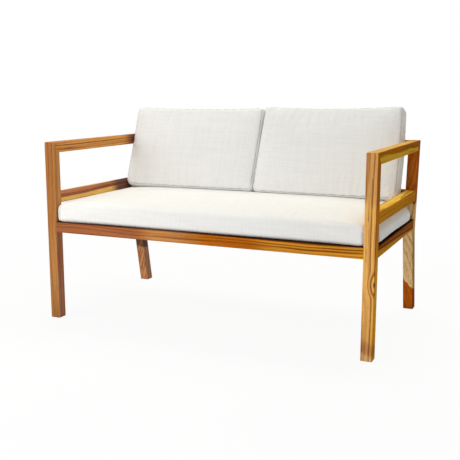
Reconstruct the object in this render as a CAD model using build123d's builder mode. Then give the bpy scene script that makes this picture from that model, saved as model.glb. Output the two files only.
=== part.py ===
from build123d import *
import math
import os

os.makedirs("parts", exist_ok=True)

# Patio loveseat: a frame of square timber with mitred arms and bent rear posts, a slatted seat
# and back, and three loose cushions. Millimetres, +Z up, the front faces -Y, and the origin is
# on the floor under the middle of the frame.

# Outside of the frame
frame_width = 1220.0      # across the outer faces of the legs
seat_height = 364.0       # floor to the top of the seat rails
arm_rise = 290.0          # from there to the top of the arms
arm_rail_share = 0.3655   # of that rise, up to the top of the lower arm rails and lower back rail

# Timber of the legs, arms and rails
timber = 38.0             # square section
eased = 2.5               # radius worked on every long edge

# Rear posts, sawn to a bend from a wide board
post_depth = 38.0         # square to the post's own line
post_set_back = 592.0     # front of the legs to the front of the bend
knee_drop = 12.0          # bend below the seat rails
knee_radius = 60.0
back_lean = 7.0           # degrees, above the bend
leg_rake = 11.5           # degrees, below the bend

# Joints of the frame
tenon_length = 12.0
tenon_thickness = 12.0
tenon_height = 24.0
glue_room = 1.0           # left at the bottom of every mortise
dowel_radius = 4.0
dowel_reach = 16.0        # into each side of the mitre
dowel_spacing = 18.0
dowel_gap = 0.05

# Rails across the frame
front_rail_thickness = 28.0
rear_rail_thickness = 26.0
back_rail_thickness = 24.0

# Seat slats, on strips screwed to the front and rear rails, with a brace under the middle one
slat_count = 11
slat_width = 60.0
slat_thickness = 12.0
slat_gap = 1.0            # between a slat's end and the rail
slat_eased = 1.5
cleat_section = 18.0
brace_width = 38.0

# Back slats, housed in the two back rails
back_slat_count = 10
back_slat_width = 45.0
back_slat_thickness = 12.0
housing_depth = 10.0

# Countersunk screws
screw_radius = 2.0
screw_head_radius = 4.0
screw_head_height = 2.4
screw_tip = 3.0
screw_length = 26.0
screw_sink = 0.4          # head below the timber
screw_gap = 0.05
slat_screw_offset = 12.0  # each side of a slat's middle

# Seat cushion
seat_cushion_side_gap = 4.0   # to the legs and arm rails
seat_cushion_set_back = 7.0   # from the front of the legs
seat_cushion_rear_gap = 3.0   # to the front of the posts' bend
seat_cushion_edge = 64.0  # height of the band round the edge
seat_crown = 16.0
seat_bulge = 4.0
seat_draw_in = 5.0
seat_end_radius = 20.0

# Back cushions
back_cushion_side_gap = 4.0    # to the arms, for each
back_cushion_thickness = 85.0  # measured level, front seam to back seam
back_cushion_rises = {"left": 117.0, "right": 126.0}  # of the upper corners above the arms
back_cushion_leans = {"left": 18.0, "right": 20.5}  # degrees
back_cushion_parting = 2.0     # between the two cushions
back_front_crown = 14.0
back_rear_crown = 2.0
back_top_bulge = 5.0
back_top_dip = 6.0
back_draw_in_share = 0.025     # of the half width, lost from the foot to the top
back_end_radius = 18.0

# Covers and fillings
rest_gap = 0.7            # between a cushion and what it lies on
cover_cloth = 1.4
filling_gap = 0.4

# Stations of a cushion's sections, from its middle to where its end starts to round over
station_shares = (0.0, 0.3, 0.55, 0.75, 0.9)
end_angles = (0.0, 30.0, 55.0, 78.0)
crown_power = 4

# Worked out from the sizes above
arm_height = seat_height + arm_rise
arm_rail_height = seat_height + arm_rise * arm_rail_share
lean_slope = math.tan(math.radians(back_lean))
rake_slope = math.tan(math.radians(leg_rake))
post_level = post_depth / math.cos(math.radians(back_lean))
foot_level = post_depth / math.cos(math.radians(leg_rake))
seat_rail_bottom = seat_height - timber
knee_height = seat_rail_bottom - knee_drop
frame_depth = post_set_back + knee_height * rake_slope + foot_level
front = -frame_depth / 2
outer = frame_width / 2
inner = outer - timber
side_centre = outer - timber / 2
seat_rail_middle = seat_height - timber / 2
arm_rail_middle = arm_rail_height - timber / 2
arm_middle = arm_height - timber / 2
seat_cushion_width = 2 * (inner - seat_cushion_side_gap)
seat_cushion_depth = post_set_back - seat_cushion_set_back - seat_cushion_rear_gap
back_cushion_width = inner - back_cushion_side_gap - back_cushion_parting / 2
sides = (("left", -1), ("right", 1))


def post_front(z):
    """Y of the leaning front face of the rear posts at height z."""
    return front + post_set_back + (z - knee_height) * lean_slope


def post_middle(z):
    """Y of the middle of the leaning part of the rear posts at height z."""
    return post_front(z) + post_level / 2


def block(corner, size, mode=Mode.ADD):
    """A box in the piece being made, from its lowest corner."""
    with Locations(corner):
        Box(*size, align=(Align.MIN, Align.MIN, Align.MIN), mode=mode)


def tenon_along_y(x, y_from, y_to, z, mode=Mode.ADD):
    """A tenon or its mortise that runs along Y, centred on x and z."""
    corner = (x - tenon_thickness / 2, y_from, z - tenon_height / 2)
    block(corner, (tenon_thickness, y_to - y_from, tenon_height), mode)


def tenon_along_x(x_from, x_to, y, z, mode=Mode.ADD):
    """A tenon or its mortise that runs along X, centred on y and z."""
    corner = (min(x_from, x_to), y - tenon_thickness / 2, z - tenon_height / 2)
    block(corner, (abs(x_to - x_from), tenon_thickness, tenon_height), mode)


def finish(piece, name):
    """Names a finished piece and writes its file."""
    piece.part.label = name
    export_step(piece.part, f"parts/{name}.step")


# The mitre between a front leg and its arm, and the posts' leaning front face
mitre = Plane(origin=(0, front, arm_height), x_dir=(1, 0, 0), z_dir=(0, 1, 1))
lean_angle = math.radians(back_lean)
post_face = Plane(origin=(0, front + post_set_back, knee_height), x_dir=(1, 0, 0),
                  z_dir=(0, math.cos(lean_angle), -math.sin(lean_angle)))


def mitre_dowels(x, radius, reach, mode=Mode.ADD):
    """Two dowels, or their holes, square through the middle of the mitre at x."""
    middle = Plane(origin=(x, front + timber / 2, arm_middle), x_dir=(1, 0, 0), z_dir=(0, 1, 1))
    with Locations(middle):
        with GridLocations(dowel_spacing, 0, 2, 1):
            Cylinder(radius, 2 * reach, mode=mode)


# Front legs: square timber from the floor to the mitre
for side, sign in sides:
    leg_x = sign * side_centre
    with BuildPart() as front_leg:
        with Locations((leg_x, front + timber / 2, 0)):
            Box(timber, timber, arm_height, align=(Align.CENTER, Align.CENTER, Align.MIN))
        fillet(front_leg.edges(), eased)
        split(bisect_by=mitre, keep=Keep.BOTTOM)
        mitre_dowels(leg_x, dowel_radius + dowel_gap, dowel_reach + glue_room, Mode.SUBTRACT)
        mortise_end = front + timber - tenon_length - glue_room
        for height in (arm_rail_middle, seat_rail_middle):
            tenon_along_y(leg_x, mortise_end, front + timber, height, Mode.SUBTRACT)
        tenon_along_x(sign * inner, sign * (inner + tenon_length + glue_room),
                      front + front_rail_thickness / 2, seat_rail_middle, Mode.SUBTRACT)
    finish(front_leg, f"front_leg_{side}")

# Arms: the same timber, mitred to the leg and tenoned into the rear post
arm_blank = post_front(arm_height) - front + timber
for side, sign in sides:
    arm_x = sign * side_centre
    with BuildPart() as arm:
        with Locations((arm_x, front, arm_height - timber)):
            Box(timber, arm_blank, timber, align=(Align.CENTER, Align.MIN, Align.MIN))
        fillet(arm.edges(), eased)
        split(bisect_by=mitre, keep=Keep.TOP)
        mitre_dowels(arm_x, dowel_radius + dowel_gap, dowel_reach + glue_room, Mode.SUBTRACT)
        split(bisect_by=post_face, keep=Keep.BOTTOM)
        shoulder = post_front(arm_middle)
        tenon_along_y(arm_x, shoulder - tenon_length, shoulder + tenon_length, arm_middle)
    finish(arm, f"arm_{side}")

# Dowels inside the two mitres
for side, sign in sides:
    with BuildPart() as dowels:
        mitre_dowels(sign * side_centre, dowel_radius, dowel_reach)
    finish(dowels, f"mitre_dowels_{side}")

# Lower arm rails and seat side rails: tenoned into the front leg and the rear post
for name, middle in (("arm_lower_rail", arm_rail_middle), ("seat_side_rail", seat_rail_middle)):
    for side, sign in sides:
        rail_x = sign * side_centre
        with BuildPart() as side_rail:
            with Locations((rail_x, front + timber, middle)):
                Box(timber, arm_blank, timber, align=(Align.CENTER, Align.MIN, Align.CENTER))
            fillet(side_rail.edges().filter_by(Axis.Y), eased)
            split(bisect_by=post_face, keep=Keep.BOTTOM)
            tenon_along_y(rail_x, front + timber - tenon_length, front + timber, middle)
            shoulder = post_front(middle)
            tenon_along_y(rail_x, shoulder - tenon_length, shoulder + tenon_length, middle)
        finish(side_rail, f"{name}_{side}")

# Rear posts: one bent profile, with mortises for three rails from the front and three from the side
rake_angle = math.radians(leg_rake)
lean_normal = Vector(math.cos(lean_angle), -math.sin(lean_angle))
rake_normal = Vector(math.cos(rake_angle), math.sin(rake_angle))
knee_front = Vector(front + post_set_back, knee_height)
knee_back = knee_front + (lean_normal + rake_normal) * (post_depth / (1 + lean_normal.dot(rake_normal)))
foot_front = front + post_set_back + knee_height * rake_slope
post_outline = [
    (post_front(arm_height), arm_height),
    (knee_front.X, knee_front.Y),
    (foot_front, 0),
    (foot_front + foot_level, 0),
    (knee_back.X, knee_back.Y),
    (post_front(arm_height) + post_level, arm_height),
]
rear_rail_y = post_middle(seat_rail_middle)
for side, sign in sides:
    post_x = sign * side_centre
    with BuildPart() as rear_post:
        with BuildSketch(Plane.YZ.offset(post_x)) as post_profile:
            with BuildLine():
                Polyline(*post_outline, close=True)
            make_face()
            bend = post_profile.vertices().filter_by_position(
                Axis.Y, knee_height - knee_drop, knee_height + knee_drop)
            fillet(bend, knee_radius)
        extrude(amount=timber / 2, both=True)
        fillet(rear_post.edges(), eased)
        for height in (arm_middle, arm_rail_middle, seat_rail_middle):
            face_y = post_front(height)
            tenon_along_y(post_x, face_y - tenon_length, face_y + tenon_length + glue_room, height,
                          Mode.SUBTRACT)
        mortise_x = sign * (inner + tenon_length + glue_room)
        for height in (arm_middle, arm_rail_middle, seat_rail_middle):
            tenon_along_x(sign * inner, mortise_x, post_middle(height), height, Mode.SUBTRACT)
    finish(rear_post, f"rear_post_{side}")

# Front and rear seat rails, upright, each with a mortise for the brace
brace_depth = timber - slat_thickness
brace_middle = seat_rail_bottom + brace_depth / 2
front_rail_back = front + front_rail_thickness
rear_rail_front = rear_rail_y - rear_rail_thickness / 2


def brace_tenon(y_from, y_to, mode=Mode.ADD):
    """The brace's tenon or its mortise, between two faces along Y."""
    corner = (-tenon_thickness / 2, y_from, brace_middle - tenon_thickness / 2)
    block(corner, (tenon_thickness, y_to - y_from, tenon_thickness), mode)


def cross_rail_ends(y, z):
    """The two end tenons of a rail across the frame."""
    for _, sign in sides:
        tenon_along_x(sign * (inner - tenon_length), sign * (inner + tenon_length), y, z)


def screw(gap=0):
    """A countersunk screw with its head up at the origin, or its hole with a gap all round."""
    with BuildPart() as one_screw:
        with BuildSketch(Plane.XZ):
            with BuildLine():
                Polyline((0, gap), (screw_head_radius + gap, gap),
                         (screw_radius + gap, -screw_head_height),
                         (screw_radius + gap, screw_tip - screw_length),
                         (0, -screw_length - gap), close=True)
            make_face()
        revolve(axis=Axis.Z)
    return one_screw.part


slat_pitch = 2 * inner / slat_count
slat_places = [(index - (slat_count - 1) / 2) * slat_pitch for index in range(slat_count)]
gap_places = [(left + right) / 2 for left, right in zip(slat_places, slat_places[1:])]
front_cleat_y = front_rail_back + cleat_section / 2
rear_cleat_y = rear_rail_front - cleat_section / 2
cleat_top = seat_height - slat_thickness
cleat_middle = cleat_top - cleat_section / 2
slat_screw_places = [Location((x + offset, y, seat_height - screw_sink))
                     for x in slat_places
                     for offset in (-slat_screw_offset, slat_screw_offset)
                     for y in (front_cleat_y, rear_cleat_y)]
front_cleat_face = front_rail_back + cleat_section - screw_sink
rear_cleat_face = rear_rail_front - cleat_section + screw_sink
front_screw_places = [Location((x, front_cleat_face, cleat_middle), (-90, 0, 0)) for x in gap_places]
rear_screw_places = [Location((x, rear_cleat_face, cleat_middle), (90, 0, 0)) for x in gap_places]
whole_screw = screw()
screw_hole = screw(screw_gap)

with BuildPart() as front_seat_rail:
    block((-inner, front, seat_rail_bottom), (2 * inner, front_rail_thickness, timber))
    fillet(front_seat_rail.edges().filter_by(Axis.X), eased)
    cross_rail_ends(front + front_rail_thickness / 2, seat_rail_middle)
    brace_tenon(front_rail_back - tenon_length - glue_room, front_rail_back, Mode.SUBTRACT)
    with Locations(*front_screw_places):
        add(screw_hole, mode=Mode.SUBTRACT)
finish(front_seat_rail, "front_seat_rail")

with BuildPart() as rear_seat_rail:
    block((-inner, rear_rail_front, seat_rail_bottom), (2 * inner, rear_rail_thickness, timber))
    fillet(rear_seat_rail.edges().filter_by(Axis.X), eased)
    cross_rail_ends(rear_rail_y, seat_rail_middle)
    brace_tenon(rear_rail_front, rear_rail_front + tenon_length + glue_room, Mode.SUBTRACT)
    with Locations(*rear_screw_places):
        add(screw_hole, mode=Mode.SUBTRACT)
finish(rear_seat_rail, "rear_seat_rail")

# Brace under the middle slat, front to back
with BuildPart() as seat_brace:
    block((-brace_width / 2, front_rail_back, seat_rail_bottom),
          (brace_width, rear_rail_front - front_rail_back, brace_depth))
    brace_tenon(front_rail_back - tenon_length, front_rail_back)
    brace_tenon(rear_rail_front, rear_rail_front + tenon_length)
    with Locations(*slat_screw_places):
        add(screw_hole, mode=Mode.SUBTRACT)
finish(seat_brace, "seat_brace")

# Cleats that carry the slats, between the legs or posts and the brace
cleat_length = inner - brace_width / 2
for end, low_y, screw_places in (("front", front_rail_back, front_screw_places),
                                 ("rear", rear_rail_front - cleat_section, rear_screw_places)):
    for side, sign in sides:
        low_x = brace_width / 2 if sign > 0 else -inner
        with BuildPart() as cleat:
            block((low_x, low_y, cleat_top - cleat_section), (cleat_length, cleat_section, cleat_section))
            with Locations(*slat_screw_places, *screw_places):
                add(screw_hole, mode=Mode.SUBTRACT)
        finish(cleat, f"{end}_cleat_{side}")

# Seat slats, front to back
slat_low_y = front_rail_back + slat_gap
slat_length = rear_rail_front - slat_gap - slat_low_y
for index, slat_x in enumerate(slat_places):
    with BuildPart() as seat_slat:
        block((slat_x - slat_width / 2, slat_low_y, cleat_top), (slat_width, slat_length, slat_thickness))
        fillet(seat_slat.edges().filter_by(Axis.Y), slat_eased)
        own_screws = [place for place in slat_screw_places
                      if abs(place.position.X - slat_x) < slat_width / 2]
        with Locations(*own_screws):
            add(screw_hole, mode=Mode.SUBTRACT)
    finish(seat_slat, f"seat_slat_{index + 1:02d}")

# Screws of the slats and of the cleats
with BuildPart() as slat_screws:
    with Locations(*slat_screw_places):
        add(whole_screw)
finish(slat_screws, "slat_screws")

with BuildPart() as cleat_screws:
    with Locations(*front_screw_places, *rear_screw_places):
        add(whole_screw)
finish(cleat_screws, "cleat_screws")

# Back rails: faces that lean with the posts, top and bottom level, and housings for the slats
slat_bottom = arm_rail_height - housing_depth
slat_top = arm_height - timber + housing_depth
back_slat_pitch = 2 * inner / back_slat_count
back_slat_places = [(index - (back_slat_count - 1) / 2) * back_slat_pitch
                    for index in range(back_slat_count)]


def leaning_outline(thickness, low, high):
    """Corners of a strip between two heights, centred on the line of the leaning posts."""
    half = thickness / 2
    return [(post_middle(low) - half, low), (post_middle(low) + half, low),
            (post_middle(high) + half, high), (post_middle(high) - half, high)]


def back_slat(x, extra, mode=Mode.ADD):
    """A back slat, or its housing with room at both ends, centred on x."""
    with BuildSketch(Plane.YZ.offset(x)) as profile:
        with BuildLine():
            Polyline(*leaning_outline(back_slat_thickness, slat_bottom - extra, slat_top + extra),
                     close=True)
        make_face()
    extrude(profile.sketch, amount=back_slat_width / 2, both=True, mode=mode)


for name, low in (("back_top_rail", arm_height - timber), ("back_lower_rail", arm_rail_height - timber)):
    with BuildPart() as back_rail:
        with BuildSketch(Plane.YZ):
            with BuildLine():
                Polyline(*leaning_outline(back_rail_thickness, low, low + timber), close=True)
            make_face()
        extrude(amount=inner, both=True)
        fillet(back_rail.edges().filter_by(Axis.X), eased)
        cross_rail_ends(post_middle(low + timber / 2), low + timber / 2)
        for slat_x in back_slat_places:
            back_slat(slat_x, glue_room, Mode.SUBTRACT)
    finish(back_rail, name)

# Back slats, upright between the rails, their ends hidden in the housings
for index, slat_x in enumerate(back_slat_places):
    with BuildPart() as upright:
        back_slat(slat_x, 0)
    finish(upright, f"back_slat_{index + 1:02d}")


def stations(half_width, end_radius):
    """Distance from the middle, share of the half width, and drop of the rounded end, outwards."""
    straight = half_width - end_radius
    places = [(straight * share, 0.0) for share in station_shares]
    for angle in end_angles:
        turn = math.radians(angle)
        places.append((straight + end_radius * math.sin(turn), end_radius * (1 - math.cos(turn))))
    right = [(x, x / half_width, drop) for x, drop in places]
    left = [(-x, share, drop) for x, share, drop in reversed(right[1:])]
    return left + right


def crown_at(share):
    """How much of a crown is left at a share of the half width: all in the middle, none at the end."""
    return 1 - share ** crown_power


seat_edge_height = seat_height + rest_gap + seat_cushion_edge


def seat_seams(share):
    """Y of the seat cushion's front and rear seams, which draw in between the corners."""
    pull = seat_draw_in * (1 - share ** 2) + seat_bulge
    y_front = front + seat_cushion_set_back
    return y_front + pull, y_front + seat_cushion_depth - pull


def seat_form(inset):
    """The seat cushion's form, drawn in by inset all round, lofted from end to end."""
    with BuildPart() as form:
        for x, share, drop in stations(seat_cushion_width / 2 - inset, seat_end_radius):
            seam_front, seam_back = seat_seams(share)
            y_front, y_back = seam_front + drop + inset, seam_back - drop - inset
            z_low = seat_height + rest_gap + inset + drop
            z_high = seat_edge_height - inset - drop
            z_middle = (z_low + z_high) / 2
            z_crown = z_high + seat_crown * crown_at(share) + seat_bulge * share
            with BuildSketch(Plane.YZ.offset(x)):
                with BuildLine():
                    Line((y_front, z_low), (y_back, z_low))
                    ThreePointArc((y_back, z_low), (y_back + seat_bulge, z_middle), (y_back, z_high))
                    ThreePointArc((y_back, z_high), ((y_front + y_back) / 2, z_crown), (y_front, z_high))
                    ThreePointArc((y_front, z_high), (y_front - seat_bulge, z_middle), (y_front, z_low))
                make_face()
        loft(ruled=True)
    return form.part


def seat_top(x, y):
    """Height of the crowned top of the seat cushion."""
    share = min(1, abs(x) / (seat_cushion_width / 2))
    seam_front, seam_back = seat_seams(share)
    across = (y - (seam_front + seam_back) / 2) / ((seam_back - seam_front) / 2)
    rise = seat_crown * crown_at(share) + seat_bulge * share
    return seat_edge_height + rise * (1 - across ** 2)


top_rail_edge = post_middle(arm_height) - back_rail_thickness / 2


def back_form(middle_x, lean, top, inset):
    """A back cushion's form, drawn in by inset all round, lofted from end to end."""
    slope = math.tan(math.radians(lean))
    swell_y, swell_z = -math.cos(math.radians(lean)), math.sin(math.radians(lean))
    top_fall = back_cushion_thickness * math.sin(math.radians(lean)) * math.cos(math.radians(lean))
    touch_y = top_rail_edge - back_rear_crown - rest_gap

    def corner(z, ahead, shift):
        """A corner at height z, so far ahead of the rear seam, then shifted along Y."""
        return touch_y + (z - arm_height) * slope - ahead + shift, z

    y_foot = corner(seat_edge_height, back_cushion_thickness, 0)[0]
    with BuildPart() as form:
        for x, share, drop in stations(back_cushion_width / 2 - inset, back_end_radius):
            pull = drop + inset
            low = seat_top(middle_x + x, y_foot) + rest_gap + pull
            rear_low = seat_top(middle_x + x, y_foot + back_cushion_thickness) + rest_gap + pull
            high = top - back_top_dip * (1 - share ** 2) - pull
            foot_front = corner(low, back_cushion_thickness, pull)
            foot_back = corner(rear_low, 0, -pull)
            head_back = corner(high - top_fall, 0, -pull)
            head_front = corner(high, back_cushion_thickness, pull)
            swell = back_front_crown * crown_at(share) + back_rear_crown
            belly = ((foot_front[0] + head_front[0]) / 2 + swell * swell_y,
                     (low + high) / 2 + swell * swell_z)
            spine = ((foot_back[0] + head_back[0]) / 2 - back_rear_crown * swell_y,
                     (foot_back[1] + head_back[1]) / 2 - back_rear_crown * swell_z)
            peak = ((head_back[0] + head_front[0]) / 2 + back_top_bulge * swell_z,
                    (head_back[1] + head_front[1]) / 2 - back_top_bulge * swell_y)
            tilt = math.atan2(x * back_draw_in_share, top - seat_edge_height)
            section = Plane(origin=(middle_x + x, 0, seat_edge_height), x_dir=(0, 1, 0),
                            z_dir=(math.cos(tilt), 0, math.sin(tilt)))
            corners = [foot_front, foot_back, spine, head_back, peak, head_front, belly]
            a, b, c, d, e, f, g = [(y, z - seat_edge_height) for y, z in corners]
            with BuildSketch(section):
                with BuildLine():
                    Line(a, b)
                    ThreePointArc(b, c, d)
                    ThreePointArc(d, e, f)
                    ThreePointArc(f, g, a)
                make_face()
        loft(ruled=True)
    return form.part


def finish_cushion(form, name):
    """Makes a sewn cover and the filling inside it from a cushion's form at three insets."""
    outside, inside, filled = form(0), form(cover_cloth), form(cover_cloth + filling_gap)
    with BuildPart() as cover:
        add(outside)
        add(inside, mode=Mode.SUBTRACT)
    finish(cover, f"{name}_cover")
    with BuildPart() as filling:
        add(filled)
    finish(filling, f"{name}_filling")


# Cushions: one long seat cushion, and two back cushions that stand on it and lean on the top rail
finish_cushion(seat_form, "seat_cushion")
cushion_reach = (back_cushion_width + back_cushion_parting) / 2
for side, sign in sides:
    cushion_x = sign * cushion_reach
    lean, top = back_cushion_leans[side], arm_height + back_cushion_rises[side]
    finish_cushion(lambda inset: back_form(cushion_x, lean, top, inset), f"back_cushion_{side}")
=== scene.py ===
import math

import bpy
import numpy as np
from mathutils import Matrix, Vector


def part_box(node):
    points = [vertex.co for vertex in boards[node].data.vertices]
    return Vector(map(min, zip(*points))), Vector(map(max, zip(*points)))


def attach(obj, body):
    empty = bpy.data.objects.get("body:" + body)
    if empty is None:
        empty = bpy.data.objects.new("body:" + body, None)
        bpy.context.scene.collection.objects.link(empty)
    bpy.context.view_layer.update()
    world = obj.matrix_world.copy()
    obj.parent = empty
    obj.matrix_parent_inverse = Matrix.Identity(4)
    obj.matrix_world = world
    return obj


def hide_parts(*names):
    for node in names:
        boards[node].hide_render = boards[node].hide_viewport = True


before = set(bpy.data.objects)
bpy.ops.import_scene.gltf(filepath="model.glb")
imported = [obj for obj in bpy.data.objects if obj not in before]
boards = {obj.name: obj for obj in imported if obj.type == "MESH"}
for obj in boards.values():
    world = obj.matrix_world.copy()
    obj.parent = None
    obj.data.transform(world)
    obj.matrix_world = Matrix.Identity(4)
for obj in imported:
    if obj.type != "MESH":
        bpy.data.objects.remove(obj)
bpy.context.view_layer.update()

# Front legs.
# Square teak posts, planed, eased along their edges and oiled, each mitred at the top to meet its arm.
# Each board comes from another part of a log, so each has its own rings, heartwood and sapwood.


def paint(red, green, blue):
    """A screen colour, 0 to 255, as the light that it stands for."""
    shades = [channel / 255 for channel in (red, green, blue)]
    return [s / 12.92 if s <= 0.04045 else ((s + 0.055) / 1.055) ** 2.4 for s in shades] + [1.0]


class Wire:
    """A value in a node tree. Arithmetic on it adds Math nodes."""

    def __init__(self, tree, socket):
        self.tree, self.socket = tree, socket

    def math(self, operation, *values):
        """Adds one Math node, with wires or numbers at its inputs."""
        node = self.tree.nodes.new("ShaderNodeMath")
        node.operation = operation
        for slot, value in zip(node.inputs, values):
            if isinstance(value, Wire):
                self.tree.links.new(value.socket, slot)
            else:
                slot.default_value = value
        return Wire(self.tree, node.outputs[0])

    def __add__(self, other):
        return self.math("ADD", self, other)

    def __radd__(self, other):
        return self.math("ADD", other, self)

    def __sub__(self, other):
        return self.math("SUBTRACT", self, other)

    def __rsub__(self, other):
        return self.math("SUBTRACT", other, self)

    def __mul__(self, other):
        return self.math("MULTIPLY", self, other)

    def __rmul__(self, other):
        return self.math("MULTIPLY", other, self)

    def __truediv__(self, other):
        return self.math("DIVIDE", self, other)

    def __pow__(self, other):
        return self.math("POWER", self, other)

    def of(self, output):
        """Another output of the same node."""
        return Wire(self.tree, self.socket.node.outputs[output])


class Finish:
    """A material and the nodes that make it."""

    def __init__(self, name):
        self.material = bpy.data.materials.new(name)
        self.material.use_nodes = True
        self.tree = self.material.node_tree
        self.tree.nodes.clear()

    def node(self, kind, settings=None, sockets=None, output=0):
        """Adds a node: first its settings, then the values or links of its sockets."""
        made = self.tree.nodes.new(kind)
        for key, value in (settings or {}).items():
            setattr(made, key, value)
        for key, value in (sockets or {}).items():
            if isinstance(value, Wire):
                self.tree.links.new(value.socket, made.inputs[key])
            else:
                made.inputs[key].default_value = value
        return Wire(self.tree, made.outputs[output]) if len(made.outputs) else None

    def axes(self, output="Object"):
        """The three parts of a texture coordinate: object coordinates are in metres."""
        point = self.node("ShaderNodeTexCoord", output=output)
        parts = self.node("ShaderNodeSeparateXYZ", sockets={"Vector": point})
        return parts.of("X"), parts.of("Y"), parts.of("Z")

    def noise(self, x, y, z, detail=2.0, roughness=0.5):
        """Soft noise about one unit across, from 0 to 1."""
        vector = self.node("ShaderNodeCombineXYZ", sockets={"X": x, "Y": y, "Z": z})
        sockets = {"Vector": vector, "Scale": 1.0, "Detail": detail, "Roughness": roughness}
        return self.node("ShaderNodeTexNoise", sockets=sockets)

    def step(self, value, low, high):
        """A smooth step from 0 at low to 1 at high."""
        settings = {"interpolation_type": "SMOOTHSTEP"}
        return self.node("ShaderNodeMapRange", settings, {"Value": value, "From Min": low, "From Max": high})

    def mix(self, factor, first, second, blend="MIX"):
        """The first colour with the second mixed or multiplied in, as far as the factor says."""
        settings = {"data_type": "RGBA", "blend_type": blend, "clamp_factor": True}
        return self.node("ShaderNodeMix", settings, {0: factor, 6: first, 7: second}, output=2)

    def close(self, sockets, height=None):
        """Ends the material with one shader. The height is in metres."""
        sockets = dict(sockets)
        if height is not None:
            bump = {"Height": height, "Distance": 1.0, "Strength": 1.0}
            sockets["Normal"] = self.node("ShaderNodeBump", sockets=bump)
        shader = self.node("ShaderNodeBsdfPrincipled", sockets=sockets)
        self.node("ShaderNodeOutputMaterial", sockets={"Surface": shader})
        return self.material


def darker(colour, share):
    """The colour with each of its parts times a share."""
    return [channel * share for channel in colour[:3]] + [1.0]


def by_run(run, x, y, z):
    """Three values in a board's own order: along its run, across it, and the third way."""
    return {"X": (x, y, z), "Y": (y, x, z), "Z": (z, x, y)}[run]


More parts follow.
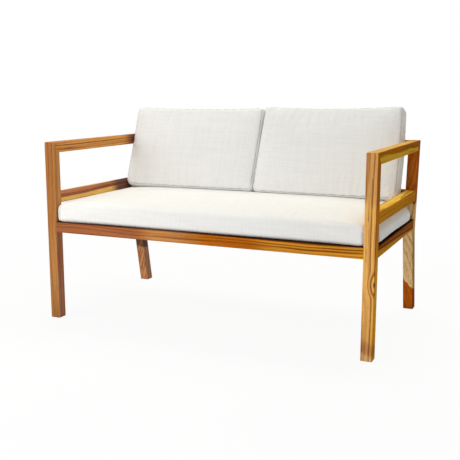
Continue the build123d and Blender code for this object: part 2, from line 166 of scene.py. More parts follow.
def teak(name, run, pith, gold, brown, sap=None, sap_from=0.02, ring=0.009, late=0.7, flame=0.5,
         tilt=(0.0, 0.0), knots=(), checks=(), zones=(), low_end=None, painted_right_shading=None, painted_top_shading=None,
         painted_shade_zones=False, seed=0.0):
    """A board's own teak. Its rings are the distance from a pith line that lies beside the board along its
    run and wanders slowly. Each ring's late wood darkens slowly and stops sharply, and some rings are darker
    than others. Broader brown flames follow them, and sapwood lies beyond a radius. Each knot is a dark core
    that the rings go round, and each check is a short dark crack along the front face. A zone is a length of
    the board in other shades, which ends in slanting tongues. Some zones are the board's own colour, and some
    are painted shade where the seat and the cushions shade the board; on a board whose zones are painted
    shade, they lie on its front, right and top faces alone. The right-face and top-face shares are painted
    light and shade: they brighten or darken the red, green and blue on those faces, at the board's low and
    high end."""
    wood = Finish(name)
    x, y, z = wood.axes()
    low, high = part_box(name)
    middle, size = (low + high) / 2, (high - low) / 2
    x, y, z = x - middle.x, y - middle.y, z - middle.z
    along, across, over = by_run(run, x, y, z)
    half, half_across, half_over = by_run(run, *size)
    wander = wood.noise(along * 2.2 + seed, across * 6, over * 6, 2.0)
    sway = wood.noise(along * 1.8 + (seed + 31), across * 5, over * 5, 2.0)
    a = across - pith[0] + (wander - 0.5) * 0.024 - along * tilt[0]
    b = over - pith[1] + (sway - 0.5) * 0.024 - along * tilt[1]
    radius = (a * a + b * b) ** 0.5
    shade = None
    for place, side, rise, width in knots:
        aa = (along - place) * 0.55
        bb, cc = across - side, over - rise
        gap = (aa * aa + bb * bb + cc * cc) ** 0.5
        radius = radius + (1 - wood.step(gap, 0.0, width * 2.6)) * (width * 1.1)
        core = 1 - wood.step(gap, width * 0.2, width * 0.7)
        shade = core if shade is None else shade + core
    ripple = wood.noise(along * 9 + seed, across * 110, over * 110, 3.0)
    for place, side, length in checks:
        off = across - side + (ripple - 0.5) * 0.003
        reach = along - place
        crack = 1 - wood.step(off.math("ABSOLUTE", off), 0.0002, 0.0010)
        crack = crack * (1 - wood.step(over, -0.017, -0.015))
        crack = crack * (1 - wood.step(reach.math("ABSOLUTE", reach), length * 0.4, length * 0.5))
        shade = crack if shade is None else shade + crack
    growth = wood.noise(radius * 60 + seed, 0.5, 0.5, 1.0)
    turn = radius / ring + growth * 2.2 + (ripple - 0.5) * 0.35
    year = turn.math("FRACT", turn)
    count = turn.math("FLOOR", turn)
    strong = wood.noise(count * 5.7 + seed, along * 1.1, 0.5, 1.0)
    summer = wood.step(year, 0.4, 0.88) * (1 - wood.step(year, 0.92, 1.0)) * wood.step(strong, 0.2, 0.6)
    flames = wood.step(wood.noise(radius * 130 + seed * 3, along * 0.9, across * 8, 3.0, 0.6), 0.45, 0.66)
    streaks = wood.step(wood.noise(along * 3.0 + seed, across * 210, over * 210, 4.0, 0.7), 0.46, 0.66)
    dark = summer * late + flames * flame + streaks * 0.5
    light = gold
    if low_end:
        light = wood.mix(wood.step(along, -half * 0.8, half * 0.8), low_end, gold)
    colour = wood.mix(dark, light, brown)
    if sap:
        edge = radius + (ripple - 0.5) * 0.005
        pale = wood.mix(summer * (late * 0.7) + streaks * 0.3, sap, light)
        colour = wood.mix(wood.step(edge, sap_from - 0.0012, sap_from + 0.0012), colour, pale)
    # On a board whose zones are painted shade, the zones show on its front, right and top faces alone.
    facing = 1.0
    if painted_shade_zones:
        nx, ny, nz = wood.axes("Normal")
        facing = wood.step(nx - ny + nz, 0.3, 0.8)
    for start, end, slant, soft, zone_gold, zone_brown in zones:
        place = along + across * slant + (ripple - 0.5) * 0.02 + (wander - 0.5) * 0.03
        inside = wood.step(place, start - soft, start + soft) * (1 - wood.step(place, end - soft, end + soft))
        colour = wood.mix(inside * facing, colour, wood.mix(dark, zone_gold, zone_brown))
    colour = wood.mix((dark - 0.75) * 0.8, colour, darker(brown, 0.5))
    # Painted light and shade: the right and top faces are brightened or darkened by the given shares of red,
    # green and blue, from the board's low end to its high end.
    for ends, place, reach in ((painted_right_shading, across, half_across), (painted_top_shading, over, half_over)):
        if ends:
            face = wood.step(place + (ripple - 0.5) * 0.003, reach - 0.0026, reach - 0.0012)
            shares = wood.mix(wood.step(along, -half * 0.3, half * 0.3), *ends)
            colour = wood.mix(face, colour, shares, "MULTIPLY")
    pores = wood.step(wood.noise(along * 60 + seed, across * 1400, over * 1400, 1.0), 0.6, 0.74)
    colour = wood.mix(pores * 0.4, colour, darker(brown, 0.45))
    if shade is not None:
        colour = wood.mix(shade, colour, darker(brown, 0.22))
    rough = summer * 0.08 + pores * 0.15 + 0.4
    return wood.close({"Base Color": colour, "Roughness": rough, "Specular IOR Level": 0.002},
                      pores * -0.0001 - summer * 0.00003)


def dress(name, material):
    """Gives a board its own finish."""
    slots = boards[name].data.materials
    slots.clear()
    slots.append(material)


# Painted light: the left front leg's inner, right-hand face is brightened, most towards the top.
dress("front_leg_left", teak("front_leg_left", "Z", (0.05, 0.09), paint(170, 111, 59), paint(122, 71, 36),
                             low_end=paint(190, 133, 74), ring=0.006, flame=0.4, late=0.55, seed=1.7,
                             painted_right_shading=((1.08, 1.10, 2.1, 1.0), (1.55, 1.8, 2.1, 1.0))))
# Painted shade: the right front leg's outer, right-hand face is darkened and its blue taken out, most towards
# the top.
dress("front_leg_right", teak("front_leg_right", "Z", (-0.02, 0.05), paint(248, 190, 104),
                              paint(170, 104, 46), ring=0.0085, flame=0.4, late=0.8, seed=4.1,
                              knots=((-0.078, 0.020, -0.019, 0.011),),
                              checks=((0.012, -0.0095, 0.045), (0.205, 0.002, 0.10), (0.15, -0.006, 0.07)),
                              zones=((-0.40, -0.300, 0.4, 0.004, paint(244, 196, 138), paint(206, 152, 98)),
                                     (-0.300, -0.262, 0.4, 0.014, paint(214, 152, 92), paint(148, 94, 50)),
                                     (0.17, 0.5, 0.6, 0.02, paint(222, 166, 98), paint(160, 100, 50))),
                              painted_right_shading=((0.92, 0.84, 0.12, 1.0), (0.65, 0.42, 0.03, 1.0))))

# Arms.
# A flat length of the same timber on each side, mitred to the leg and tenoned into the rear post.
# On the right-hand arm the outer upper corner is heartwood and the rest is paler.


def all_along(red, green, blue):
    """The same shares of red, green and blue at both ends of a board, for a face's painted light and shade.
    """
    return ((red, green, blue, 1.0),) * 2


# Painted shade: the left arm's zone at its rear end, by the cushion, is darker, on its front, right and top
# faces alone.
dress("arm_left", teak("arm_left", "Y", (-0.03, -0.05), paint(228, 162, 88), paint(152, 88, 48), seed=7.3,
                       ring=0.006, late=0.55, painted_shade_zones=True,
                       zones=((0.190, 0.5, 0.3, 0.040, paint(152, 92, 70), paint(108, 58, 42)),)))
# Painted shade: the right arm's outer, right-hand face is a little darker, with most of its blue taken out.
dress("arm_right", teak("arm_right", "Y", (0.045, 0.012), paint(184, 112, 10), paint(130, 66, 3), ring=0.008,
                        sap=paint(230, 182, 100), sap_from=0.0295, seed=2.9,
                        knots=((-0.06, 0.020, -0.007, 0.003),),
                        painted_right_shading=all_along(0.92, 0.91, 0.2)))

# Lower arm rails.
# One on each side under the arm, tenoned into the leg and the post, a hand's breadth above the seat.
# Painted shade: the left lower arm rail's zone over its rear part, towards the cushion, is darker, on its
# front, right and top faces alone.
dress("arm_lower_rail_left", teak("arm_lower_rail_left", "Y", (0.02, 0.03), paint(198, 128, 88),
                                  paint(118, 68, 48), sap=paint(244, 202, 108), sap_from=0.030, seed=5.2,
                                  painted_shade_zones=True,
                                  zones=((0.095, 0.5, 0.9, 0.035, paint(134, 88, 76), paint(90, 58, 52)),)))
# Painted shade and light: the right lower arm rail's outer, right-hand face is darkened with its blue taken
# out, and its top face is brightened.
dress("arm_lower_rail_right", teak("arm_lower_rail_right", "Y", (0.02, 0.08), paint(252, 206, 88),
                                   paint(190, 128, 36), flame=0.35, seed=8.8,
                                   knots=((0.1, 0.020, 0.0, 0.005),),
                                   painted_right_shading=all_along(0.65, 0.44, 0.03),
                                   painted_top_shading=((1.2, 1.2, 1.25, 1.0), (1.15, 1.15, 1.2, 1.0))))

# Seat rails.
# They tie the legs and posts together under the cushion: one on each side, one in front, one behind.
dress("seat_side_rail_left", teak("seat_side_rail_left", "Y", (0.02, -0.06), paint(196, 132, 74),
                                  paint(130, 80, 44), seed=3.4))
# Painted shade: the right seat side rail's outer, right-hand face is darkened with its blue taken out, and
# its top face under the cushion's edge is painted shadow, nearly black.
dress("seat_side_rail_right", teak("seat_side_rail_right", "Y", (0.0, 0.03), paint(186, 108, 14),
                                   paint(114, 56, 4), sap=paint(236, 182, 50), sap_from=0.0395, seed=6.1,
                                   tilt=(0, -0.02), ring=0.007,
                                   painted_right_shading=all_along(0.69, 0.59, 0.05),
                                   painted_top_shading=all_along(0.08, 0.06, 0.05)))
# Painted shadow: the front seat rail's top face under the cushion's front edge is darkened, most at the
# right-hand end.
dress("front_seat_rail", teak("front_seat_rail", "X", (-0.06, 0.05), paint(226, 157, 44), paint(150, 80, 24),
                              low_end=paint(152, 92, 70), ring=0.007, flame=0.6, late=0.6, seed=9.6,
                              painted_top_shading=((0.4, 0.4, 0.6, 1.0), (0.12, 0.10, 0.2, 1.0)),
                              zones=((-0.8, -0.20, 0.0, 0.08, paint(172, 103, 62), paint(102, 58, 38)),
                                     (-0.20, -0.05, 0.0, 0.05, paint(205, 141, 80), paint(148, 90, 46)),
                                     (0.0, 0.23, 0.0, 0.05, paint(194, 108, 22), paint(134, 62, 8)))))
dress("rear_seat_rail", teak("rear_seat_rail", "X", (-0.05, -0.06), paint(206, 140, 70), paint(142, 84, 40),
                             seed=1.2))

# Rear posts.
# Each is sawn from one wide board: the upper part leans back with the cushions, the leg rakes backward.
# The right-hand one is heartwood at its top and its foot, and pale sapwood between.
# Painted shadow: the left rear post's zone under the seat rails is darker, on its front, right and top faces
# alone, and painted shade darkens its right-hand face, most towards the foot.
dress("rear_post_left", teak("rear_post_left", "Z", (0.05, 0.08), paint(208, 146, 98), paint(138, 90, 58),
                             ring=0.008, seed=2.2, painted_shade_zones=True,
                             zones=((-0.168, 0.01, 0.2, 0.003, paint(124, 88, 68), paint(84, 58, 46)),),
                             painted_right_shading=((0.66, 0.74, 1.06, 1.0), (0.85, 0.85, 1.0, 1.0))))
# Painted shade: the right rear post's outer, right-hand face is darkened, most towards the foot.
dress("rear_post_right", teak("rear_post_right", "Z", (-0.04, 0.05), paint(250, 218, 160),
                              paint(204, 158, 102), ring=0.009, flame=0.25, late=0.6, seed=4.7,
                              zones=((-0.4, -0.222, 1.1, 0.002, paint(198, 102, 18), paint(146, 64, 6)),
                                     (0.105, 0.4, 0.5, 0.005, paint(194, 108, 32), paint(122, 62, 14))),
                              painted_right_shading=((0.45, 0.33, 0.13, 1.0), (0.9, 0.8, 0.6, 1.0))))

# Back rails.
# The top rail joins the tops of the posts between the arms, and the lower one stands just above the seat.
for name, seed in (("back_top_rail", 5.9), ("back_lower_rail", 7.7)):
    dress(name, teak(name, "X", (0.06, 0.06), paint(196, 132, 72), paint(136, 82, 42), seed=seed))

# Slats, cleats and brace.
# Thinner teak under and behind the cushions, screwed and housed. It is plainer and paler than the rest.


def slat_teak(name, run, pitch):
    """Plain teak for a row of thin boards: broad stripes and fine streaks along the run. The grain shifts
    from one number to the next, which is the place across the row over the pitch, rounded. In a row of an
    even count that is along the middle of each board."""
    wood = Finish(name)
    x, y, z = wood.axes()
    along, across, over = by_run(run, x, y, z)
    place = across / pitch + 0.5
    seed = place.math("FLOOR", place) * 7.31
    wander = wood.noise(along * 3 + seed, across * 10, over * 10, 2.0)
    stripes = wood.noise(across * 140 + seed * 3.0 + wander * 5, along * 1.5, over * 90, 3.0, 0.6)
    stripes = wood.step(stripes, 0.4, 0.68)
    streaks = wood.step(wood.noise(along * 5 + seed, across * 420, over * 420, 2.0), 0.45, 0.75)
    tone = wood.noise(seed, 0.5, 0.5, 0.0)
    gold = wood.mix(tone, paint(200, 140, 80), paint(222, 170, 108))
    colour = wood.mix(stripes * 0.45 + streaks * 0.3, gold, paint(144, 92, 50))
    pores = wood.step(wood.noise(along * 60, across * 1400, over * 1400, 1.0), 0.6, 0.74)
    colour = wood.mix(pores * 0.35, colour, paint(84, 52, 28))
    return wood.close({"Base Color": colour, "Roughness": streaks * 0.1 + 0.5}, pores * -0.0001)


inner_face = round(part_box("front_leg_right")[0].x, 4)
seat_slats, back_slats = 11, 10
seat_slat_pitch = 2 * inner_face / seat_slats
seat_slat_teak = slat_teak("seat slat teak", "Y", seat_slat_pitch)
for number in range(1, seat_slats + 1):
    dress(f"seat_slat_{number:02d}", seat_slat_teak)
back_slat_teak = slat_teak("back slat teak", "Z", 2 * inner_face / back_slats)
for number in range(1, back_slats + 1):
    dress(f"back_slat_{number:02d}", back_slat_teak)
cleat_teak = slat_teak("cleat teak", "X", 0.2)
for name in ("front_cleat_left", "front_cleat_right", "rear_cleat_left", "rear_cleat_right"):
    dress(name, cleat_teak)
dress("seat_brace", seat_slat_teak)

# Dowels and screws.
# Beech dowels are glued across the mitres. The screws are plain stainless steel with brushed heads.
beech = Finish("beech")
x, y, z = beech.axes()
fleck = beech.noise(x * 900, y * 900, z * 200, 2.0)
beech_colour = beech.mix(fleck, paint(226, 196, 154), paint(198, 162, 118))
beech_finish = beech.close({"Base Color": beech_colour, "Roughness": 0.6})
dress("mitre_dowels_left", beech_finish)
dress("mitre_dowels_right", beech_finish)
steel = Finish("screw steel")
x, y, z = steel.axes()
scratch = steel.noise(x * 4000, y * 600, z * 600, 2.0)
steel_finish = steel.close({"Base Color": paint(188, 188, 186), "Metallic": 1.0,
                            "Roughness": scratch * 0.2 + 0.25})
dress("slat_screws", steel_finish)
dress("cleat_screws", steel_finish)

# Seat cushion.
# Foam in one wrap of off-white canvas that goes over the front, with a sewn side panel at each end.
# It rests on the slats, and behind the legs it swells out over the side rails.


def canvas(name, lean):
    """Off-white canvas. Fine threads run along the cushion's three ways, each only where the surface runs
    that way, with thicker threads here and there. The lean turns the ways with the cushion. Beside a seam
    it is a shade darker: painted shade of the seam's groove."""
    cloth = Finish(name)
    x, y, z = cloth.axes()
    nx, ny, nz = cloth.axes("Normal")
    c, s = math.cos(lean), math.sin(lean)
    ahead, up = y * c - z * s, z * c + y * s
    n_ahead, n_up = ny * c - nz * s, nz * c + ny * s
    thread_pitch = 0.0013
    threads = 0.0
    for way, normal in ((x, nx), (ahead, n_ahead), (up, n_up)):
        turn = way * (2 * math.pi / thread_pitch)
        threads = turn.math("SINE", turn) * (1 - normal * normal) + threads
    slubs_x = cloth.noise(x * 12, ahead * 420, up * 420, 2.0, 0.6)
    slubs_up = cloth.noise(x * 420, ahead * 40, up * 12, 2.0, 0.6)
    slubs = cloth.step(slubs_x, 0.5, 0.8) + cloth.step(slubs_up, 0.52, 0.8)
    yarns = cloth.noise(x * 150, ahead * 9, up * 5, 3.0, 0.6)
    yarns = yarns + cloth.noise(x * 6, ahead * 130, up * 130, 3.0, 0.6)
    soft = cloth.noise(x * 5, y * 5, z * 5, 2.0)
    colour = cloth.mix(soft, paint(243, 242, 239), paint(239, 239, 236))
    colour = cloth.mix(slubs * 0.5, colour, paint(230, 229, 224))
    colour = cloth.mix(cloth.step(yarns, 0.9, 1.25) * 0.5, colour, paint(231, 230, 225))
    # Painted shade: the canvas darkens within a few millimetres of each seam.
    from_seam = cloth.node("ShaderNodeAttribute", {"attribute_name": "seam"}, output=2)
    colour = cloth.mix(1 - cloth.step(from_seam, 0.0008, 0.0042), colour, paint(206, 206, 203))
    height = threads * 0.00005 + slubs * 0.00012
    return cloth.close({"Base Color": colour, "Roughness": 0.92, "Specular IOR Level": 0.2,
                        "Sheen Weight": 0.15, "Sheen Roughness": 0.5}, height)


def grid_faces(rows, columns):
    """Quads of a grid that closes on itself along its columns, as rows of four vertex numbers."""
    row, column = np.meshgrid(np.arange(rows - 1), np.arange(columns), indexing="ij")
    following = (column + 1) % columns
    corners = [row * columns + column, row * columns + following,
               (row + 1) * columns + following, (row + 1) * columns + column]
    return np.stack(corners, -1).reshape(-1, 4)


def new_piece(name, points, faces, material):
    """A mesh object at the origin from arrays of points, in metres, and faces."""
    mesh = bpy.data.meshes.new(name)
    mesh.from_pydata(points.tolist(), [], faces.tolist())
    mesh.polygons.foreach_set("use_smooth", np.ones(len(mesh.polygons), bool))
    mesh.materials.append(material)
    mesh.update()
    piece = bpy.data.objects.new(name, mesh)
    bpy.context.scene.collection.objects.link(piece)
    return piece


def points_of(mesh):
    """A mesh's points as rows of x, y and z."""
    points = np.empty(len(mesh.vertices) * 3)
    mesh.vertices.foreach_get("co", points)
    return points.reshape(-1, 3)


def normals_of(mesh):
    """The directions that a mesh's points face, as rows of x, y and z."""
    normals = np.empty(len(mesh.vertices) * 3)
    mesh.vertex_normals.foreach_get("vector", normals)
    return normals.reshape(-1, 3)


def nearest(points, line):
    """For each point, its distance to the nearest point of a closed line and how far along the line that is,
    in metres. Both come from the whole table of distances, a few thousand points at a time."""
    steps = np.linalg.norm(np.roll(line, -1, axis=0) - line, axis=1)
    lengths = np.concatenate([[0], np.cumsum(steps)[:-1]])
    gaps, alongs = [], []
    batch = 4000
    for part in np.array_split(points, max(1, len(points) // batch)):
        table = ((part[:, None, :] - line[None, :, :]) ** 2).sum(-1)
        gaps.append(np.sqrt(table.min(1)))
        alongs.append(lengths[table.argmin(1)])
    return np.concatenate(gaps), np.concatenate(alongs)


def stuff(piece, seams, voxel, cap, pressure, slack):
    """Remeshes a cushion's form evenly, holds its seams, and lets the cloth swell under pressure for twenty
    frames. No point moves further than the cap. It also finds each point's distance to the nearest seam and
    how far along that seam it lies, and returns both."""
    even = piece.modifiers.new("even", "REMESH")
    even.mode, even.voxel_size = "VOXEL", voxel
    scene = bpy.context.scene
    mesh = bpy.data.meshes.new_from_object(piece.evaluated_get(bpy.context.evaluated_depsgraph_get()))
    piece.modifiers.clear()
    mesh.materials.clear()
    mesh.materials.append(piece.data.materials[0])
    piece.data = mesh
    rest = points_of(mesh)
    gap, along = nearest(rest, seams[0])
    for seam in seams[1:]:
        other_gap, other_along = nearest(rest, seam)
        along = np.where(other_gap < gap, other_along, along)
        gap = np.minimum(gap, other_gap)
    held = piece.vertex_groups.new(name="seams")
    held_width = 0.006
    hold = np.exp(-(gap / held_width) ** 2)
    for number in np.flatnonzero(hold > 0.05).tolist():
        held.add([number], float(hold[number]), "REPLACE")
    cloth = piece.modifiers.new("cloth", "CLOTH")
    cloth.settings.vertex_group_mass = "seams"
    cloth.settings.use_pressure = True
    cloth.settings.uniform_pressure_force = pressure
    cloth.settings.shrink_min = -slack
    cloth.settings.shrink_max = -slack
    cloth.settings.effector_weights.gravity = 0.0
    cloth.collision_settings.use_collision = False
    frames = 20
    for moment in range(1, frames + 1):
        scene.frame_set(moment)
    swollen = piece.evaluated_get(bpy.context.evaluated_depsgraph_get()).to_mesh()
    move = points_of(swollen) - rest
    piece.modifiers.clear()
    scene.frame_set(1)
    size = np.linalg.norm(move, axis=1)[:, None]
    rest = rest + move * (cap * np.tanh(size / cap) / np.maximum(size, 1e-9))
    mesh.vertices.foreach_set("co", rest.ravel())
    mesh.update()
    return gap, along


def sew(piece, gap, along, depth, pucker, rest):
    """Draws the cover in at its seams, in a groove, and raises short puckers across them: waves along the
    seam whose height fades within about two fingers of it. Then the cushion is rested on what it
    touches."""
    mesh = piece.data
    waves = ((0.011, 0.3, 0.4), (0.017, 1.9, 0.6), (0.029, 4.0, 0.8), (0.071, 2.2, 0.5))
    wave = sum(np.sin(along * (2 * math.pi / length) + phase) * share for length, phase, share in waves)
    drift = np.sin(along * 9.1 + 1.0) * 0.5 + np.sin(along * 23.7) * 0.5
    move = -depth * np.exp(-(gap / 0.0035) ** 2)
    move += pucker * wave * (0.6 + 0.4 * drift) * np.exp(-gap / 0.014) * (1 - np.exp(-(gap / 0.004) ** 2))
    points = rest(points_of(mesh) + normals_of(mesh) * move[:, None])
    mesh.vertices.foreach_set("co", points.ravel())
    mark = mesh.attributes.new("seam", "FLOAT", "POINT")
    mark.data.foreach_set("value", np.minimum(gap, 0.05))
    mesh.polygons.foreach_set("use_smooth", np.ones(len(mesh.polygons), bool))
    mesh.update()
    smooth = piece.modifiers.new("smooth", "SUBSURF")
    smooth.levels = smooth.render_levels = 1


def welt(cushion, seams, body):
    """The stitched ridge of each seam: a thin round, eight-sided, along the seam where it lies on the
    finished cover. It rides with its cushion."""
    name = f"{body}_seams"
    sides, radius = 8, 0.0009
    points, faces = [], []
    for seam in seams:
        mesh = bpy.data.meshes.new(name)
        mesh.from_pydata(seam.tolist(), [], [])
        line = bpy.data.objects.new(name, mesh)
        bpy.context.scene.collection.objects.link(line)
        lay = line.modifiers.new("lay", "SHRINKWRAP")
        lay.target, lay.wrap_method = cushion, "NEAREST_SURFACEPOINT"
        path = points_of(line.evaluated_get(bpy.context.evaluated_depsgraph_get()).to_mesh())
        bpy.data.objects.remove(line)
        path = sum(np.roll(path, shift, axis=0) for shift in range(-3, 4)) / 7
        ahead = np.roll(path, -1, axis=0) - np.roll(path, 1, axis=0)
        ahead /= np.linalg.norm(ahead, axis=1, keepdims=True)
        flat = np.cross(path - path.mean(0), ahead).sum(0)
        side = np.cross(ahead, flat / np.linalg.norm(flat))
        side /= np.linalg.norm(side, axis=1, keepdims=True)
        up = np.cross(side, ahead)
        turn = np.linspace(0, 2 * math.pi, sides, endpoint=False)
        ring = np.cos(turn)[:, None, None] * side + np.sin(turn)[:, None, None] * up
        tube = (path + ring * radius).transpose(1, 0, 2)
        row, column = np.meshgrid(np.arange(len(path)), np.arange(sides), indexing="ij")
        after, beside = (row + 1) % len(path), (column + 1) % sides
        corners = [row * sides + column, after * sides + column, after * sides + beside, row * sides + beside]
        faces.append(np.stack(corners, -1).reshape(-1, 4) + sum(len(part) for part in points))
        points.append(tube.reshape(-1, 3))
    thread = Finish(name)
    x, y, z = thread.axes()
    stitches = thread.step(thread.noise(x * 300, y * 300, z * 300, 1.0), 0.4, 0.6)
    look = thread.close({"Base Color": thread.mix(stitches, paint(204, 203, 198), paint(176, 175, 170)),
                         "Roughness": 0.9})
    piece = new_piece(name, np.concatenate(points), np.concatenate(faces), look)
    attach(piece, body)


def settle(piece, body):
    """Says which body the cushion moves with, and which solids it stands for."""
    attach(piece, body)
    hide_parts(f"{body}_cover", f"{body}_filling")


def rounded_outline(half_width, half_height, radii, count):
    """Points round a rectangle with rounded corners, evenly spaced, from the middle of its lower side
    anticlockwise. The radii are those of the lower right, upper right, upper left and lower left corners."""
    places = []
    for (sx, sy), radius, start in zip(((1, -1), (1, 1), (-1, 1), (-1, -1)), radii, (-90, 0, 90, 180)):
        angles = np.radians(start + np.linspace(0, 90, 24))
        centre = np.array([sx * (half_width - radius), sy * (half_height - radius)])
        places.append(centre + radius * np.stack([np.cos(angles), np.sin(angles)], -1))
    loop = np.concatenate([[[0.0, -half_height]], *places, [[0.0, -half_height]]])
    lengths = np.concatenate([[0], np.cumsum(np.linalg.norm(np.diff(loop, axis=0), axis=1))])
    even = np.linspace(0, lengths[-1], count, endpoint=False)
    return np.stack([np.interp(even, lengths, loop[:, axis]) for axis in (0, 1)], -1)


def crown(share, power):
    """One at the middle and nothing at a share of 1 or -1: one less a power of the share."""
    return 1 - np.minimum(np.abs(share), 1) ** power


front_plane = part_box("front_leg_left")[0].y
seat_bottom = round(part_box("front_seat_rail")[1].z, 4) + 0.0005
seat_edge = seat_bottom + 0.0642
seat_front, seat_back = front_plane + 0.0025, front_plane + 0.5905
# The room that the frame leaves the cushion: behind the front legs, between them, out over the side rails,
# up to the lower arm rails, and back to the posts.
clearance = 0.0008
leg_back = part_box("front_leg_right")[1].y + 0.002
between_legs = inner_face - clearance
over_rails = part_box("seat_side_rail_right")[1].x - 0.0038
under_arm_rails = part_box("arm_lower_rail_right")[0].z - clearance
before_posts = front_plane + 0.5965


def seat_shell():
    """The wrap's section, a rounded rectangle in Y and Z, carried from end to end, and on each end a panel
    that shrinks from the section's edge to its middle. The top rises in a crown. Behind the front legs the
    ends swell outward over the side rails, most at the foot, and the lower edge lifts off them in a wave."""
    depth, height = seat_back - seat_front, seat_edge - seat_bottom
    section = rounded_outline(depth / 2, height / 2, radii=(0.012, 0.014, 0.019, 0.012), count=360)
    reach = (depth - height) / 2
    core = np.stack([np.clip(section[:, 0], -reach, reach), np.zeros(len(section))], -1)
    turn = np.radians(np.linspace(90, 0, 9))
    panel = np.linspace(0, 1, 16)[:-1]
    bend = np.concatenate([np.full(len(panel), 1.0), 1 - np.cos(turn)])
    outward = np.concatenate([np.zeros(len(panel)), 1 - np.sin(turn)])
    shrink = np.concatenate([panel, np.ones(len(turn))])
    end_rows = len(shrink)
    middle = np.linspace(-1, 1, 260)[1:-1]
    share = np.concatenate([-np.ones(end_rows), middle, np.ones(end_rows)])
    left_round, right_round = 0.010, 0.004
    back_off = np.concatenate([outward * left_round, np.where(middle < 0, left_round, right_round),
                               outward[::-1] * right_round])
    inset = np.concatenate([bend * left_round, middle * 0, bend[::-1] * right_round])
    shrink = np.concatenate([shrink, np.ones(len(middle)), shrink[::-1]])
    away = section - core
    size = np.linalg.norm(away, axis=1)
    place = core[None] + away[None] * (shrink[:, None] * (1 - inset[:, None] / size))[..., None]
    y, z = place[..., 0] + (seat_front + seat_back) / 2, place[..., 1] + (seat_bottom + seat_edge) / 2
    behind = np.clip((y - (front_plane + 0.034)) / 0.045, 0, 1) ** 1.5
    behind = behind * np.clip((seat_back - 0.014 - y) / 0.034, 0, 1)
    level = (z - seat_bottom) / height
    swell = 0.006 * (1 - shrink ** 4)[:, None] * crown(2 * level - 1, 2)
    bulge = 0.035 * behind * (1 - 0.67 * np.clip((level - 0.3) / 0.7, 0, 1))
    half = 0.5675 + 0.0035 * (share[:, None] > 0) + bulge + swell
    x = share[:, None] * (half - back_off[:, None])
    across = (y - (seat_front + seat_back) / 2) / (depth / 2)
    rise = 0.016 * crown(x / 0.58, 5) + 0.004
    z = z + rise * crown(across, 2.6) * np.clip(level, 0, 1) ** 2
    over_rail = np.clip((np.abs(x) - inner_face) / 0.012, 0, 1) * behind * (1 - np.clip(level, 0, 1))
    z = z + over_rail * 0.004 * (0.5 + 0.5 * np.sin((y - front_plane) * 14 - 2.0))
    points = np.stack([x, y, z], -1)
    seams = [points[end_rows - 1], points[-end_rows]]
    return points.reshape(-1, 3), grid_faces(len(share), len(section)), seams


seat_points, seat_faces, seat_seams = seat_shell()
seat_cushion = new_piece("seat_cushion_canvas", seat_points, seat_faces, canvas("seat canvas", 0.0))


def rest_on_rails(points):
    """Keeps the seat cushion off the frame: flat on the rails and slats, a little lower between the slats,
    clear of the legs in front, and clear of the lower arm rails above its swollen sides."""
    x, y, z = points.T
    from_gap = np.abs((x / seat_slat_pitch) % 1 - 0.5) * seat_slat_pitch
    over_slats = (np.abs(x) < 0.56) * (y > front_plane + 0.062) * (y < seat_back - 0.05)
    open_below = crown(from_gap / 0.010, 2) * over_slats
    z = np.maximum(z, seat_bottom - 0.0002 - open_below * 0.0025)
    limit = np.where(y < leg_back, between_legs, over_rails)
    x = np.clip(x, -limit, limit)
    outside = np.abs(x) > between_legs - 0.0007
    z = np.where(outside, np.minimum(z, under_arm_rails), z)
    y = np.where(outside, np.minimum(y, before_posts), y)
    return np.stack([x, y, z], -1)


seat_gap, seat_along = stuff(seat_cushion, seat_seams, voxel=0.0065, cap=0.006, pressure=3.0, slack=0.004)
sew(seat_cushion, seat_gap, seat_along, depth=0.0024, pucker=0.0007, rest=rest_on_rails)
settle(seat_cushion, "seat_cushion")
welt(seat_cushion, seat_seams, "seat_cushion")

# Back cushions.
# Two loose boxed cushions of the same canvas: a front and a back panel joined by a band, over soft foam.
# They stand on the seat, lean on the top rail, and draw in towards the top.
top_rail_touch = front_plane + 0.6382
arm_top = round(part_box("arm_left")[1].z, 4)
touch = 0.0006


def through_places(values, share):
    """A smooth curve through a few evenly spaced values, read at shares from 0 to 1."""
    curve = np.polyfit(np.linspace(0, 1, len(values)), values, len(values) - 1)
    return np.polyval(curve, np.clip(share, 0, 1))


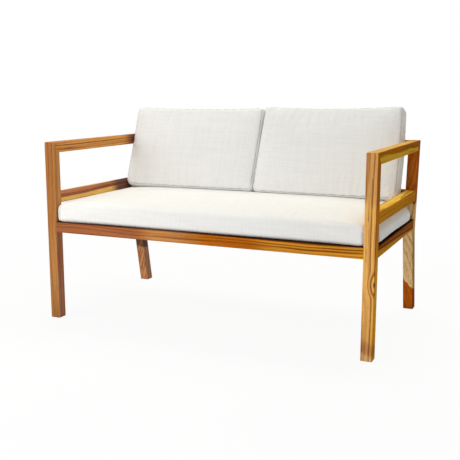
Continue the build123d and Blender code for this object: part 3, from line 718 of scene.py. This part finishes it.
def back_shell(lean, left_edge, right_edge, top_edge, bottom_edge):
    """The front panel from its middle out to its edge, the band, and the back panel in to its middle. The
    panels' outline is a rounded rectangle, stretched between four gently curved edges and sheared back by
    the lean. Each edge is a curve through a few heights or places. The band stands square to the panels at
    the top, so there it falls towards the back, and at the foot it curls under the cushion."""
    width, height, thick = 0.562, 0.334, 0.083
    outline = rounded_outline(width / 2, height / 2, radii=(0.020, 0.007, 0.007, 0.022), count=320)
    reach = (width - height) / 2
    core = np.stack([np.clip(outline[:, 0], -reach, reach), np.zeros(len(outline))], -1)
    panel = np.linspace(0, 1, 70)[:-1]
    band = np.linspace(0, 1, 22)
    shrink = np.concatenate([panel, np.ones(len(band)), panel[::-1]])[:, None]
    through = np.concatenate([np.zeros(len(panel)), band, np.ones(len(panel))])[:, None]
    away = outline - core
    place = core[None] + away[None] * shrink[..., None]
    out = away / np.linalg.norm(away, axis=1, keepdims=True)
    across, up = place[..., 0] / width + 0.5, place[..., 1] / height + 0.5
    fall = thick * math.sin(lean) * math.cos(lean)
    left, right = through_places(left_edge, up), through_places(right_edge, up)
    top = through_places(top_edge, across) - fall * through
    bottom = through_places(bottom_edge, across) + 0.017 * (1 - through) ** 2
    swell = (4 * through * (1 - through)) ** 0.7 * 0.008 * (1 - 0.6 * np.clip(out[None, :, 1], 0, 1))
    x = left + (right - left) * across + out[None, :, 0] * swell
    z = bottom + (top - bottom) * up + out[None, :, 1] * swell
    from_edge = (1 - shrink) * height / 2
    soft_edge = 0.006 * (1 - np.exp(-from_edge / 0.009))
    pillow = crown(2 * across - 1, 3) * crown(2 * up - 1, 3)
    front = (soft_edge + 0.010 * pillow) * (through == 0)
    rear = (soft_edge * 0.3 + 0.001 * pillow) * (through == 1)
    y = top_rail_touch - 0.002 + (z - arm_top) * math.tan(lean) - thick * (1 - through) - front + rear
    y = y + out[None, :, 1] * swell * math.sin(lean) * math.cos(lean)
    points = np.stack([x, y, z], -1)
    seams = [points[len(panel)], points[-len(panel) - 1]]
    return points.reshape(-1, 3), grid_faces(len(shrink), len(outline)), seams


cell, columns, rows = 0.01, 120, 70


def cells_of(points):
    """The column and the row of each point in a grid of 10 mm squares over the seat."""
    column = ((points[:, 0] + columns * cell / 2) / cell).astype(int)
    row = ((points[:, 1] - front_plane) / cell).astype(int)
    return np.clip(column, 0, columns - 1), np.clip(row, 0, rows - 1)


# The height of the seat cushion's top over the grid: its highest point in each square.
seat_heights = np.zeros((columns, rows))
seat_top_points = points_of(seat_cushion.data)
np.maximum.at(seat_heights, cells_of(seat_top_points), seat_top_points[:, 2])


def rest_against(points, lean, side):
    """Keeps a back cushion off what it touches: flat on the seat below, flat on the top rail behind, and
    clear of the arms and of the other cushion."""
    points[:, 2] = np.maximum(points[:, 2], seat_heights[cells_of(points)] + touch)
    leaning = top_rail_touch + 0.0015 + (points[:, 2] - arm_top) * math.tan(lean)
    points[:, 1] = np.minimum(points[:, 1], leaning)
    points[:, 0] = np.clip(points[:, 0], -between_legs, between_legs)
    joint = 0.001 + (points[:, 2] - 0.44) * 0.03
    if side == "left":
        points[:, 0] = np.minimum(points[:, 0], joint - touch)
    else:
        points[:, 0] = np.maximum(points[:, 0], joint + touch)
    return points


def back_cushion(side, lean, **edges):
    """Makes one back cushion and settles it on its body."""
    body = f"back_cushion_{side}"
    points, faces, seams = back_shell(lean, **edges)
    cushion = new_piece(f"{body}_canvas", points, faces, canvas(f"{side} back canvas", lean))
    gap, along = stuff(cushion, seams, voxel=0.0048, cap=0.006, pressure=3.0, slack=0.006)
    sew(cushion, gap, along, depth=0.0026, pucker=0.0012,
        rest=lambda points: rest_against(points, lean, side))
    settle(cushion, body)
    welt(cushion, seams, body)


back_cushion("left", math.radians(18.0),
             left_edge=(-0.569, -0.569, -0.565, -0.564, -0.561),
             right_edge=(-0.006, -0.005, -0.002, 0.001, 0.004),
             top_edge=(0.768, 0.764, 0.764, 0.770),
             bottom_edge=(0.4395, 0.4385, 0.4385, 0.4395))
back_cushion("right", math.radians(20.5),
             left_edge=(0.007, 0.007, 0.008, 0.010, 0.014),
             right_edge=(0.563, 0.561, 0.559, 0.556, 0.551),
             top_edge=(0.775, 0.7695, 0.7715, 0.781),
             bottom_edge=(0.4395, 0.4375, 0.4375, 0.4395))

# Studio.
# A pale floor, large soft lights above and in front, a smaller one on the left, and a camera at the
# photograph's angle.
camera_data = bpy.data.cameras.new("camera")
camera = bpy.data.objects.new("camera", camera_data)
bpy.context.scene.collection.objects.link(camera)
camera.location = (1.1424, front_plane - 2.2777, 0.8351)
camera.rotation_euler = (math.radians(90 - 10.2129), 0.0, math.radians(24.0725))
camera_data.sensor_width = 36.0
camera_data.lens = 60.32
bpy.context.scene.camera = camera
bpy.context.scene.view_settings.view_transform = "Standard"


def soft_light(name, place, aim, width, height, power, colour):
    """A rectangular lamp that faces a point."""
    data = bpy.data.lights.new(name, "AREA")
    data.shape, data.size, data.size_y = "RECTANGLE", width, height
    data.energy, data.color = power, colour
    made = bpy.data.objects.new(name, data)
    bpy.context.scene.collection.objects.link(made)
    away = np.array(place, float) - np.array(aim, float)
    made.location = place
    made.rotation_euler = (math.acos(away[2] / np.linalg.norm(away)), 0.0, math.atan2(away[0], -away[1]))


soft_light("top light", (0.1, 1.1, 3.0), aim=(0.0, 0.0, 0.4),
           width=2.4, height=1.8, power=62, colour=(1.0, 0.98, 0.88))
soft_light("front light", (-0.2, -3.3, 1.0), aim=(0.0, 0.0, 0.5),
           width=2.4, height=1.4, power=29.5, colour=(0.96, 0.97, 1.0))
soft_light("left light", (-1.2, -1.3, 1.15), aim=(-0.4, 0.1, 0.5),
           width=1.0, height=1.0, power=10, colour=(1.0, 1.0, 0.97))

world = bpy.data.worlds.new("studio")
bpy.context.scene.world = world
world.use_nodes = True
tree = world.node_tree
tree.nodes.clear()
seen = Wire(tree, tree.nodes.new("ShaderNodeLightPath").outputs["Is Camera Ray"])
strength = seen * 0.62 + 0.38
sky = tree.nodes.new("ShaderNodeBackground")
tree.links.new(strength.socket, sky.inputs["Strength"])
sky.inputs["Color"].default_value = (1.0, 1.0, 1.0, 1.0)
end = tree.nodes.new("ShaderNodeOutputWorld")
tree.links.new(sky.outputs[0], end.inputs["Surface"])

# The floor shades from nearly white under the loveseat to the white behind it.
ground = Finish("studio floor")
x, y, _ = ground.axes()
far = ground.step((x * x + y * y) ** 0.5, 0.9, 2.4)
view = ground.node("ShaderNodeLightPath")
white = ground.node("ShaderNodeEmission", sockets={"Color": (1.0, 1.0, 1.0, 1.0), "Strength": 1.0})
matt = ground.node("ShaderNodeBsdfDiffuse", sockets={"Color": (0.88, 0.88, 0.88, 1.0)})
floor_look = ground.node("ShaderNodeMixShader", sockets={0: view * (far * 0.08 + 0.92), 1: matt, 2: white})
ground.node("ShaderNodeOutputMaterial", sockets={"Surface": floor_look})
floor_points = np.array([(-12, -12, 0), (12, -12, 0), (12, 12, 0), (-12, 12, 0)], float)
floor = new_piece("floor", floor_points, np.array([[0, 1, 2, 3]]), ground.material)
